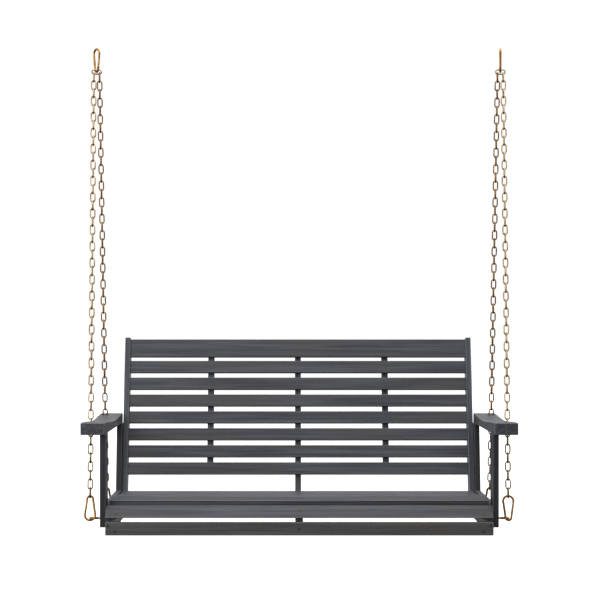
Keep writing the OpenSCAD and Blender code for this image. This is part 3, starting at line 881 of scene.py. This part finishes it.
studio = {
    "floorDrop": 0.3,        # metres under the seat
    "surround": 1.05,        # brightness to look at
    "behind": 0.85,          # light from each side
    "front": 0.32,
    "above": 1.15,
    "below": 0.1,
    "key": 44.0,             # watts
    "top": 30.0,
}
bpy.ops.object.select_all(action="DESELECT")
floorZ = cadBox[0].z - studio["floorDrop"]
bpy.ops.mesh.primitive_plane_add(size=30, location=(0, 0, floorZ))
floor = bpy.context.active_object
floor.name = "studioFloor"
paint = newMaterial("paleStudioFloor")
matt = addNode(paint, "ShaderNodeBsdfPrincipled", None,
               {"Base Color": linear("#f2f2f0"), "Roughness": 0.9, "IOR": 1.3,
                "Emission Color": (1, 1, 1, 1), "Emission Strength": 0.7})
addNode(paint, "ShaderNodeOutputMaterial", {"Surface": matt.outputs["BSDF"]})
floor.data.materials.append(paint)
floor.visible_diffuse = False  # the surround's lower half lights the swing from below
floor.visible_glossy = False

# The surround is white to look at. Its light comes mostly from above and behind, less from the floor
world = bpy.data.worlds.new("studioSurround")
bpy.context.scene.world = world
world.use_nodes = True
world.node_tree.nodes.clear()
direction = addNode(world, "ShaderNodeTexCoord").outputs["Generated"]
split = addNode(world, "ShaderNodeSeparateXYZ", {"Vector": direction})
rearward = addNode(world, "ShaderNodeMapRange", {"Value": split.outputs["Y"]},
                   {"From Min": -0.6, "From Max": 0.6, "To Min": studio["front"],
                    "To Max": studio["behind"]}).outputs["Result"]
upward = addNode(world, "ShaderNodeMapRange", {"Value": split.outputs["Z"]},
                 {"From Min": 0.1, "From Max": 0.9}).outputs["Result"]
downward = addNode(world, "ShaderNodeMapRange", {"Value": split.outputs["Z"]},
                   {"From Min": -0.05, "From Max": -0.45}).outputs["Result"]
ceiling = addNode(world, "ShaderNodeMix", {0: upward, 2: rearward}, {3: studio["above"]})
level = addNode(world, "ShaderNodeMix", {0: downward, 2: ceiling.outputs[0]}, {3: studio["below"]})
light = addNode(world, "ShaderNodeBackground", {"Strength": level.outputs[0]},
                {"Color": (0.98, 0.99, 1, 1)})
white = addNode(world, "ShaderNodeBackground", None,
                {"Color": (1, 1, 1, 1), "Strength": studio["surround"]})
seen = addNode(world, "ShaderNodeLightPath").outputs["Is Camera Ray"]
either = addNode(world, "ShaderNodeMixShader", {0: seen, 1: light.outputs[0], 2: white.outputs[0]})
addNode(world, "ShaderNodeOutputWorld", {"Surface": either.outputs[0]})


def softLamp(name, place, target, width, watts):
    data = bpy.data.lights.new(name, "AREA")
    data.shape = "SQUARE"
    data.size = width
    data.energy = watts
    lamp = bpy.data.objects.new(name, data)
    bpy.context.scene.collection.objects.link(lamp)
    lamp.location = place
    lamp.rotation_euler = (Vector(target) - Vector(place)).to_track_quat("-Z", "Y").to_euler()
    return lamp


seat = (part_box("front_apron")[0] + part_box("front_apron")[1]) / 2
softLamp("keyLamp", seat + Vector((-2.5, -1.9, 1.5)), seat + Vector((-0.1, 0.3, 0.3)), 2.0,
         studio["key"])
softLamp("topLamp", seat + Vector((0.2, 0.2, 2.6)), seat, 2.6, studio["top"])

# The camera looks straight at the seat's front, level, from standing height
frontView = {"distance": 4.8, "above": 0.6586, "aside": -0.039, "lens": 96.55,
             "shift": (0.0228, 0.0250)}
cameraData = bpy.data.cameras.new("frontView")
cameraData.lens = frontView["lens"]
cameraData.sensor_width = 36
cameraData.shift_x, cameraData.shift_y = frontView["shift"]
camera = bpy.data.objects.new("frontView", cameraData)
bpy.context.scene.collection.objects.link(camera)
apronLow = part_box("front_apron")[0]
camera.location = (frontView["aside"], apronLow.y - frontView["distance"],
                   apronLow.z + frontView["above"])
camera.rotation_euler = (pi / 2, 0, 0)
bpy.context.scene.camera = camera
bpy.context.scene.view_settings.view_transform = "Standard"
print("studio ready")

bpy.context.view_layer.update()
